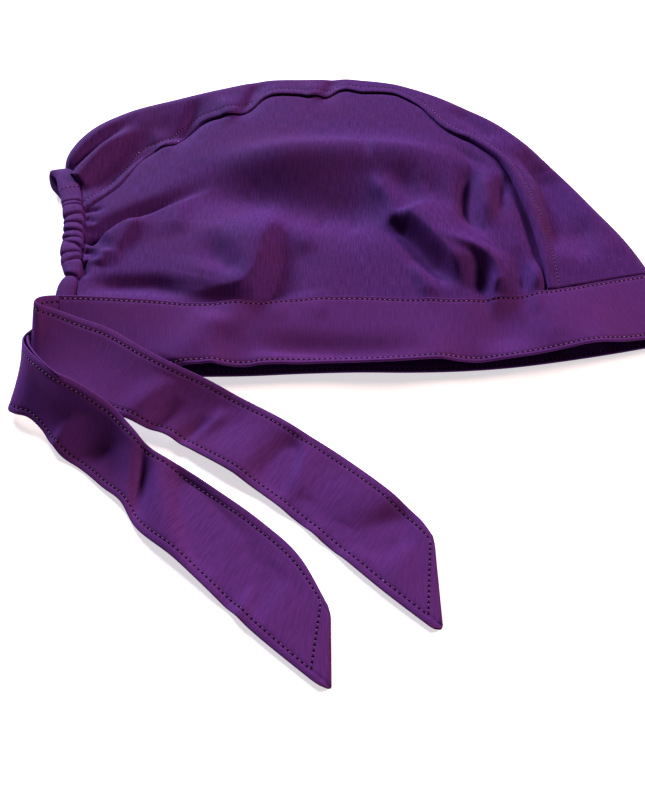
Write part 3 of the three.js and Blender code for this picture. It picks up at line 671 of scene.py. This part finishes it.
# Creases between the puckers: y at the tube's left side and at its right side, and its depths
casing_creases = [
    (65.7, 64.5, 0.7, 0.9), (62.6, 62.2, 0.4, 1), (54.2, 55.7, 2, 1.2), (49.8, 48, 0.6, 1.8),
    (44.6, 41.9, 2.2, 1), (38.8, 37.3, 1.3, 0.4), (36.5, 31.5, 0.1, 2.4), (27.3, 27.7, 0.8, 0.6),
    (20.8, 24.2, 0.1, 2), (13.9, 12, 2.6, 2),
]
# How far a crease bows, how far it reaches, how many times farther toward the band, and how deep
# it may go as a share of the tube's height
CREASE_BOW = 2.4
CREASE_REACH = 0.5
CREASE_SLOPE = 2.4
CREASE_MOST = 0.28
# How high a pucker swells and how far from a crease, the y where puckers end and over how many
# millimetres before it they fade, and the y of the row of stitches
PUCKER_RISE = 0.45
PUCKER_REACH = 1.8
PUCKERS_END, PUCKERS_FADE = 69, 4
CASING_STITCH_Y = 76


def casing_ring(u, angle, inset=0.0):
    """A point on the tube, or inset under its face: u goes along it and angle round it, from its
    right side over the top."""
    rows = casing_line(u)
    before, after = casing_line(np.maximum(u - 0.004, 0)), casing_line(np.minimum(u + 0.004, 1))
    ahead = unit(after - before)[..., :3]
    side = unit(CASING_RIGHT - ahead * (ahead @ CASING_RIGHT)[..., None])
    up = np.cross(side, ahead)
    swell = np.zeros_like(u)
    nearest = np.full_like(u, np.inf)
    share = (1 + np.cos(angle)) / 2
    for left, right, left_depth, right_depth in casing_creases:
        away = rows[..., 1] - mix(left, right, share) - CREASE_BOW * share * (1 - share)
        away = np.where(away > 0, away, -away / CREASE_SLOPE)
        depth = left_depth * (1 - share) ** 1.8 + right_depth * share**1.8
        swell -= depth * np.exp(-away / CREASE_REACH)
        nearest = np.minimum(nearest, away)
    puckered = np.clip((PUCKERS_END - rows[..., 1]) / PUCKERS_FADE, 0, 1)
    swell = (swell + PUCKER_RISE * (1 - np.exp(-nearest / PUCKER_REACH))) * puckered
    swell = np.maximum(swell, -CREASE_MOST * rows[..., 4])
    squarer = lambda x: np.sign(x) * np.abs(x) ** 0.75
    across = squarer(np.cos(angle)) * (rows[..., 3] / 2 - inset + 0.8 * swell)
    rise = squarer(np.sin(angle)) * (rows[..., 4] / 2 - inset + swell)
    return rows[..., :3] + side * across[..., None] + up * rise[..., None]


bm = bmesh.new()
weave = bm.loops.layers.uv.new("weave")
casing_places = np.concatenate([
    np.linspace(0, TURN_FROM, NEAR_STEPS), np.linspace(TURN_FROM, 1, FAR_STEPS)[1:]])
lengthwise = np.concatenate([casing_places, casing_places[::-1], casing_places[:1]])
inset = np.repeat([0, CASING_CLOTH, 0], [len(casing_places), len(casing_places), 1])
bmesh.ops.create_grid(bm, x_segments=len(lengthwise) - 1, y_segments=RING, size=0.5)
spots = np.array([vert.co[:2] for vert in bm.verts]) + 0.5
column = np.rint(spots[:, 0] * (len(lengthwise) - 1)).astype(int)
points = casing_ring(lengthwise[column], 2 * np.pi * spots[:, 1], inset[column])
for vert, point in zip(bm.verts, points * MM):
    vert.co = point
bm.verts.index_update()
for face in bm.faces:
    face.smooth = True
    for loop in face.loops:
        k = loop.vert.index
        loop[weave].uv = (spots[k, 1] * CASING_ROUND, lengthwise[column[k]] * CASING_LENGTH)
seam_verts = [
    vert for vert, x, y in zip(bm.verts, column, spots[:, 1])
    if x in (0, len(lengthwise) - 1) or y < 0.001 or y > 0.999]
bmesh.ops.remove_doubles(bm, verts=seam_verts, dist=1e-7)
bmesh.ops.recalc_face_normals(bm, faces=bm.faces)
casing_cloth = woven_cloth(
    "violet poly-cotton casing cloth", "#52286e", "#2e1442", "#471840", 0.4)
elastic_casing = finish_mesh("elastic_casing_cloth", bm, casing_cloth)
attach(elastic_casing, "root")
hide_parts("elastic_casing")
near_side = casing_places[:NEAR_STEPS]
over_top = np.linspace(0.12, 0.88, 60) * np.pi
stitched_at = np.full(60, np.interp(CASING_STITCH_Y, casing_line(near_side)[:, 1], near_side))
places = casing_ring(stitched_at, over_top)
casing_stitches = stitches(
    "elastic_casing_stitches", [(places, places - casing_line(stitched_at)[:, :3])],
    violet_thread, hole=0.6)
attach(casing_stitches, "root")

# Band: a strip of the same cloth, folded in half along its length over the crown's edge, with
# its raw edges turned in, and topstitched through along the sewn edge and again near the rim.
BAND_LENGTH = 530
BAND_WIDTH = 34
BAND_HALF = 0.6
# How far its stitches are from the sewn edge and from the rim
BAND_TOP_STITCH = 1.7
BAND_RIM_STITCH = 2
# The rim of the near half, from the nape to the forehead
band_rim = smooth_line([
    (-121, -33.5, 4.4), (-102, -34.6, 5.8), (-81, -35, 7.6), (-60, -35, 9.2),
    (-40, -34.6, 9.8), (-19, -33.4, 9.6), (4, -32.6, 9), (27, -32.7, 8.6), (48, -32, 8.6),
    (69, -30, 8.8), (91, -26.4, 9.4), (115, -21.6, 9.4), (136.5, -16.6, 8),
])
# The fold at the forehead: where it begins and ends along the band, how far it stands out, and
# how much farther in the rim lies on the far side
BAND_NEAR, BAND_FAR = 0.48, 0.52
FOREHEAD_REACH = 7.5
FAR_RIM_IN = 2
# Waves of the near rim: x, and how much higher the rim is there
rim_waves = smooth_line([
    (-90, 0), (-65, 0.8), (-60, 1.2), (-55, 2), (-50.5, 0.4), (-46, -0.9), (-40, -1.2),
    (-35, -0.2), (-27, -0.2), (-19, -0.7), (-7, -0.2), (4, 0.4), (16, 1.5), (28, 2.4), (38, 2.7),
    (45, 0.8), (54, -0.9), (62, 0), (70, 0.7), (80, 0.8), (91, 1.7), (98, 2.7), (105, 2.4),
    (114, 0.5), (124, -0.2), (145, 0),
])(np.linspace(0, 1, 400)).T
# Folds across the band, with the same columns as those of the crown
BAND_FOLDS = [
    (12, 9, -2.4, 0.02, 0.4, [(65, 6), (65.3, -13.5), (65.7, -34)]),
    (9, 10, 1.5, 0.02, 0.4, [(88.4, 8), (87, -12), (86, -32)]),
    (8, 10, 2, 0.3, 0.1, [(-52, -6), (-60, -20), (-68, -36)]),
    (6, 10, 2.4, 0.02, 0.6, [(-45, 4), (-47, -8), (-50, -24)]),
    (7, 3.5, -2.2, 0.3, 0.3, [(-48, -26), (-20, -27), (0, -28.5), (20, -29), (40, -28)]),
    (4, 5, 1, 0.02, 0.6, [(-28, 2), (-29, -8), (-30, -14)]),
    (4, 5, 1, 0.02, 0.6, [(-10, 3), (-11, -7), (-12, -13)]),
]


def band_surface(u, v):
    """The band from the nape to the forehead, round its fold there, and back on the table;
    v goes from the rim to the sewn edge."""
    u, v = np.broadcast_arrays(np.asarray(u, float), np.asarray(v, float))
    t = np.interp(u, [0, BAND_NEAR, BAND_FAR, 1], [0, 1, 1, 0])
    turned = np.pi * np.interp(u, [BAND_NEAR, BAND_FAR], [0, 1])
    point = mix(band_rim(t), band_top(t), v[..., None])
    across = np.sin(np.pi * (0.15 + 0.75 * v))
    point[..., 2] += pressed(point) * v + pressed(point, BAND_FOLDS, 1) * across
    point[..., 2] += np.interp(point[..., 0], *rim_waves) * (1 - v) ** 1.5
    end = band_top(np.ones(1))[0] - band_top(np.array([11 / 12]))[0]
    end = end * [1, 1, 0] / np.hypot(end[0], end[1])
    point = point + end * (FOREHEAD_REACH * np.sin(turned))[..., None]
    middle = (point[..., 2] + BAND_HALF) / 2
    point[..., 2] = middle + (point[..., 2] - middle) * np.cos(turned)
    point[..., 1] += FAR_RIM_IN * (1 - v) * np.interp(u, [BAND_NEAR, BAND_FAR], [0, 1])
    return point


# How far a line of stitches draws the strip in and over which width, and the width over which
# its edges are thinner
SEWN_IN, SEWN_WIDTH = 0.2, 0.8
THIN_EDGE = 1.6


def stitched_half(thickness, width, lines, taper=0.0):
    """Half thickness of a sewn strip, drawn in along its lines of stitches and, by taper, at its
    two edges."""

    def half(u, v):
        value = np.full(np.shape(v), thickness)
        for line in lines:
            value = value - SEWN_IN * np.exp(-((v * width - line) / SEWN_WIDTH) ** 2)
        edge = np.minimum(v, 1 - v) * width
        return value - taper * np.exp(-(edge / THIN_EDGE) ** 2)

    return half


def laid_straight(length, width):
    """The place on a flat strip of this length and width, for the weave."""
    return lambda u, v: np.stack([u * length, v * width], -1)


# The cloth of the band and ties: the crown cloth drawn lighter, as painted light for the brighter
# light on the band and ties, with a finer grain of its own
painted_light_strip_cloth = woven_cloth(
    "lighter violet poly-cotton strip cloth with painted light", "#5e2f77", "#371849", "#541f4a", 0.28)
band_lines = (BAND_RIM_STITCH, BAND_WIDTH - BAND_TOP_STITCH)
band_skin = skin_of(band_surface, stitched_half(BAND_HALF, BAND_WIDTH, band_lines))
# Places along it, close together round the fold
band_along = np.concatenate([
    np.linspace(0, BAND_NEAR, 250), np.linspace(BAND_NEAR, BAND_FAR, 18)[1:],
    np.linspace(BAND_FAR, 1, 150)[1:]])
band = cloth_wall(
    "band_cloth", band_skin, band_along, section(BAND_WIDTH, BAND_HALF, 30, band_lines),
    laid_straight(BAND_LENGTH, BAND_WIDTH), painted_light_strip_cloth)
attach(band, "root")
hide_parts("band")


def faced(skin, u, v, side):
    """Points on one side of a cloth and the way that side faces."""
    u, v = np.broadcast_arrays(u, v)
    points, normals = skin(u, v, np.full(u.shape, side))
    return points, normals * side


whole = np.linspace(0.002, 0.998, 1500)
rim_share, top_share = (line / BAND_WIDTH for line in band_lines)
rows = ((top_share, 1.0), (rim_share, 1.0), (rim_share, -1.0))
band_stitches = stitches(
    "band_stitches", [faced(band_skin, whole, share, side) for share, side in rows],
    violet_thread)
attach(band_stitches, "root")

# Ties: the band's two long ends, the same folded strip topstitched all round, with its free
# ends cut slanting. Both turn at the nape and lie over the band and the table.
TIE_LENGTH = 225
TIE_WIDTH = 33
TIE_HALF = 0.6
TIE_STITCH = 3.2
TIE_LINES = (TIE_STITCH, TIE_WIDTH - TIE_STITCH)
# Shares of the length: where the stitches cross the free end, and how much its corners are
# rounded off, over this share of the width
END_STITCH = 0.985
TIP_ROUND = 0.018
TIP_CORNER = 0.12
# The edges of each tie, from the band to the free end
right_tie_upper = smooth_line([
    (-121, -0.2, 15.5), (-125.4, -2.2, 17.2), (-128.2, -4.8, 18.8), (-129.2, -7.6, 19.6),
    (-127.4, -9.6, 19.6), (-123.6, -9.9, 17.9), (-119.3, -10.8, 16.8), (-111.5, -13.7, 15.7),
    (-98.4, -18.8, 14.6), (-82.6, -29.3, 13.6), (-69.3, -36.8, 12.2), (-56.3, -41.7, 8.8),
    (-43.3, -48.2, 5.6), (-26.8, -57.5, 3.2), (-5.6, -73, 2.4), (15.6, -93, 2.2),
    (25.7, -103.5, 2), (30.4, -111.4, 1.4),
])
right_tie_lower = smooth_line([
    (-121, -33.5, 4.4), (-124.8, -33.6, 3.7), (-127.6, -33.4, 3.3), (-129.2, -34.6, 3.8),
    (-127.4, -37.6, 6.2), (-123.8, -40.3, 7.7), (-120, -42.8, 8.3), (-115.5, -46, 8.3),
    (-107.5, -50.1, 8), (-96, -56.4, 7.4), (-84.6, -61, 5.8), (-72, -65.6, 4.2),
    (-60.3, -73, 2.6), (-41.9, -85.6, 2), (-21.6, -102.3, 2), (-4.5, -118.6, 1.8),
    (11, -133.5, 1.6), (31, -151, 1.2),
])
# Folds across each tie: the places along its lower and its upper edge where the fold runs, its
# half width toward the band and toward the free end, its height, and the shares across the tie,
# from its lower edge up, between which it shows
RIGHT_FOLDS = [
    (0.58, 0.60, 7, 4, 2, -0.1, 0.8), (0.62, 0.635, 4, 4, -1.6, -0.2, 0.6),
    (0.68, 0.70, 3, 3, -1.6, -0.1, 0.55), (0.695, 0.71, 2.4, 2, 1.4, 0.1, 0.8),
    (0.755, 0.775, 10, 4, 3.4, -0.2, 1.1), (0.80, 0.785, 6, 2, -2.4, 0.1, 0.95),
    (0.815, 0.80, 1.6, 3.5, 2, 0.1, 0.95), (0.83, 0.84, 3, 3, -1.8, -0.25, 0.35),
    (0.87, 0.885, 3, 3, -1.6, -0.3, 0.4), (0.85, 0.885, 10, 6, 2.4, 0.25, 1.3),
    (0.905, 0.915, 7, 6, -1.6, 0.2, 1.1), (0.945, 0.945, 5, 3, 0.8, 0.1, 0.7),
]
LEFT_FOLDS = [
    (0.52, 0.56, 6, 8, 2, -0.3, 0.7), (0.60, 0.66, 7, 5, -2, -0.2, 0.8),
    (0.74, 0.68, 9, 3.5, 2.6, -0.1, 1.05), (0.77, 0.71, 5, 4, -2, 0.05, 1.05),
    (0.83, 0.74, 10, 6, 4, -0.1, 1), (0.875, 0.775, 5, 12, -3, 0, 1.15),
    (0.885, 0.86, 8, 3, 2.4, -0.1, 0.75), (0.90, 0.905, 5, 4, -2, -0.2, 0.65),
    (0.915, 0.92, 4, 2.6, 2, -0.2, 0.6), (0.93, 0.925, 3, 4, -1.6, 0.1, 0.75),
    (0.94, 0.95, 6, 4, 0.8, 0, 0.7),
]
# How far the middle of the tie bows out of its edges, at even steps along it
RIGHT_SAGS = [0, 0, 0, 0, 0, 0.6, 1, 1.2, 1.2, 1.2, 1.4, 1.8, 2, 2, 2, 1.4, 0.6, 0]
left_tie_upper = smooth_line([
    (-121, -0.2, 0.8), (-128, -2.5, 1), (-132.4, -6.8, 3.2), (-133.8, -12, 6),
    (-133.9, -18.2, 9.5), (-132.4, -25, 13), (-129.6, -31.2, 15.8), (-123.2, -40, 18),
    (-115.6, -46.8, 18.4), (-107.9, -50.4, 17), (-100.6, -54.3, 15.5), (-92, -59.6, 13),
    (-83.9, -67.2, 10), (-75.4, -75, 7), (-63.3, -81.2, 4.5), (-47.4, -93, 3.2),
    (-32.1, -105.5, 2.6), (-18.7, -119.1, 2.2), (-7.1, -141, 1.6),
])
left_tie_lower = smooth_line([
    (-121, -33.5, 0.8), (-127, -39, 0.8), (-131.5, -45, 0.9), (-134.4, -49, 1.2),
    (-135.6, -51.2, 1.9), (-134.6, -53.6, 3), (-131.8, -55.4, 3.6), (-126.8, -56.8, 3.4),
    (-120.6, -62.2, 2.4), (-115.6, -69.4, 1.6), (-111.6, -74, 1.2), (-102.6, -80.4, 1.1),
    (-93.4, -88.8, 1.1), (-85.8, -95.4, 1.4), (-78, -107.8, 1.6), (-63.3, -120.5, 1.4),
    (-46.2, -137, 1.4), (-32.8, -150, 1.4), (-7, -172, 1.2),
])
LEFT_SAGS = [0, 0, 0.6, 1, 1.4, 1.8, 2.2, 2.4, 2.2, 2, 2, 2.2, 2.4, 2.4, 2.4, 2.2, 1.4, 0.6, 0]
# The curl of an upper edge: the share across the tie where it starts, where along the tie it
# starts and how long it is, and the way it goes. Near the table a tie settles over this height.
CURL_SHARE = 0.84
CURL_FROM, CURL_LENGTH = 0.24, 0.5
CURL_WAY = np.array([0.2, 0.9, -0.35])
SETTLE = 0.12


def tie_surface(lower, upper, sags, folds, curls):
    """A tie between its two edges; u goes from the band to the free end, v up across it. curls is
    how far its upper edge curls back where the tie stands up."""
    rows = np.linspace(0, 1, len(sags))

    def surface(u, v):
        u, v = np.broadcast_arrays(np.asarray(u, float), np.asarray(v, float))
        low_corner, high_corner = (np.clip(1 - x / TIP_CORNER, 0, 1) for x in (v, 1 - v))
        corner = np.maximum(low_corner, 0.7 * high_corner)
        u = u - TIP_ROUND * (1 - np.sqrt(1 - corner**2)) * np.clip((u - 0.9) / 0.1, 0, 1)
        start, end = lower(u), upper(u)
        across = unit(end - start)
        ahead = lambda line: line(np.minimum(u + 0.004, 1)) - line(np.maximum(u - 0.004, 0))
        facing = unit(np.cross(across, unit(ahead(lower)) + unit(ahead(upper))))
        bow = 4 * v * (1 - v) * np.interp(u, rows, sags)
        point = mix(start, end, v[..., None]) + facing * bow[..., None]
        for low, high, toward_band, toward_end, rise, v_from, v_to in folds:
            away = (u - mix(low, high, v)) * TIE_LENGTH
            reach = np.where(away < 0, toward_band, toward_end)
            seen = np.sin(np.pi * np.clip((v - v_from) / (v_to - v_from), 0, 1))
            point[..., 2] += rise * np.exp(-(away / reach) ** 2) * seen
        near_edge = np.clip((v - CURL_SHARE) / (1 - CURL_SHARE), 0, 1)
        stretch = np.sin(np.pi * np.clip((u - CURL_FROM) / CURL_LENGTH, 0, 1))
        point += (curls * near_edge**2 * stretch)[..., None] * CURL_WAY
        laid = TIE_HALF + 0.05
        point[..., 2] = laid + SETTLE * np.logaddexp(0, (point[..., 2] - laid) / SETTLE)
        return point

    return surface


tie_thread = sewing_thread("violet spun polyester tie thread", "#523060")


def make_tie(name, surface):
    """One tie with its stitches, in place on the root body, with the imported part of its name
    hidden.
    """
    skin = skin_of(surface, stitched_half(TIE_HALF, TIE_WIDTH, TIE_LINES, taper=0.22))
    cloth = cloth_wall(
        name + "_cloth", skin, stations(TIE_LENGTH, 1),
        section(TIE_WIDTH, TIE_HALF, 28, TIE_LINES), laid_straight(TIE_LENGTH, TIE_WIDTH),
        painted_light_strip_cloth)
    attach(cloth, "root")
    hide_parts(name)
    share = TIE_STITCH / TIE_WIDTH
    run = np.linspace(0.003, END_STITCH, 900)
    across = np.linspace(share, 1 - share, 60)
    runs = [faced(skin, run, v, side) for side in (1.0, -1.0) for v in (share, 1 - share)]
    runs += [faced(skin, END_STITCH, across, side) for side in (1.0, -1.0)]
    sewn = stitches(name + "_stitches", runs, tie_thread, thread=0.36)
    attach(sewn, "root")


# Where the left tie stands up, the folded edge of its under side gapes beside the upper one
LIP_FROM, LIP_TO = 0.26, 0.47
LIP_LENGTH = 46
LIP_WIDTH = 5
LIP_HALF = 0.45
# How far it gapes and which way, the way down across it, and where it starts from the edge
LIP_GAPE = 2.4
GAPE_WAY = np.array([0.55, 0.83, 0])
LIP_DOWN = np.array([0.1, 0.3, -LIP_WIDTH])
LIP_START = np.array([0, 0.8, -0.3])


def lip_surface(u, v):
    """The strip of the under side that shows; v goes down from its edge."""
    u, v = np.broadcast_arrays(np.asarray(u, float), np.asarray(v, float))
    gape = (LIP_GAPE * (1 - u) ** 0.7)[..., None] * GAPE_WAY
    down = v[..., None] * LIP_DOWN
    return left_tie_upper(mix(LIP_FROM, LIP_TO, u)) + gape + down + LIP_START


tie_lip = cloth_wall(
    "tie_left_under_edge", skin_of(lip_surface, even(LIP_HALF)), stations(LIP_LENGTH, 1),
    section(LIP_WIDTH, LIP_HALF, 5), laid_straight(LIP_LENGTH, LIP_WIDTH), painted_light_strip_cloth)
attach(tie_lip, "root")
right_tie = tie_surface(right_tie_lower, right_tie_upper, RIGHT_SAGS, RIGHT_FOLDS, 0.6)
make_tie("tie_right", right_tie)
left_tie = tie_surface(left_tie_lower, left_tie_upper, LEFT_SAGS, LEFT_FOLDS, 2.2)
make_tie("tie_left", left_tie)

# Table and light: a matt white board that glows a little, so that shadows stay pale, with a cool
# soft light from behind on the left, a warm one from the right, a faint pink surround, and the
# camera 50 degrees above the table. Places are in metres.
TABLE_SIZE = 30
LAMP_SIZE = 1.3
CAMERA_PLACE = (-0.010, -0.3105, 0.3141)
CAMERA_ABOVE = 50
bpy.ops.mesh.primitive_plane_add(size=TABLE_SIZE, location=(0, 0, 0))
table = bpy.context.object
table.name = "table"
table.data.materials.append(plain_finish("matt white board", {
    "Base Color": linear("#fafafa"), "Roughness": 0.9, "Emission Color": (1, 1, 1, 1),
    "Emission Strength": 0.6,
}))


def soft_light(name, place, power, code):
    """A round soft light turned to the cap, with its power in watts."""
    lamp = bpy.data.lights.new(name, "AREA")
    lamp.shape, lamp.size, lamp.energy, lamp.color = "DISK", LAMP_SIZE, power, linear(code)[:3]
    holder = bpy.data.objects.new(name, lamp)
    bpy.context.scene.collection.objects.link(holder)
    holder.location = place
    holder.rotation_euler = (-Vector(place)).to_track_quat("-Z", "Y").to_euler()


soft_light("cool window light", (-1.83, 3.75, 1.69), 500, "#e6e6ff")
soft_light("warm side light", (3.78, 1.08, 2.18), 270, "#ffd8cc")
world = bpy.data.worlds.new("studio")
bpy.context.scene.world = world
world.use_nodes = True
surround = world.node_tree.nodes["Background"].inputs
surround["Color"].default_value = linear("#ffc8ec")
surround["Strength"].default_value = 0.1

lens = bpy.data.cameras.new("camera")
lens.lens = 45.24
lens.sensor_width = 36
lens.clip_start = 0.01
camera = bpy.data.objects.new("camera", lens)
bpy.context.scene.collection.objects.link(camera)
camera.location = CAMERA_PLACE
camera.rotation_euler = (math.radians(90 - CAMERA_ABOVE), 0, 0)
bpy.context.scene.camera = camera
bpy.context.scene.view_settings.view_transform = "Standard"

bpy.context.view_layer.update()
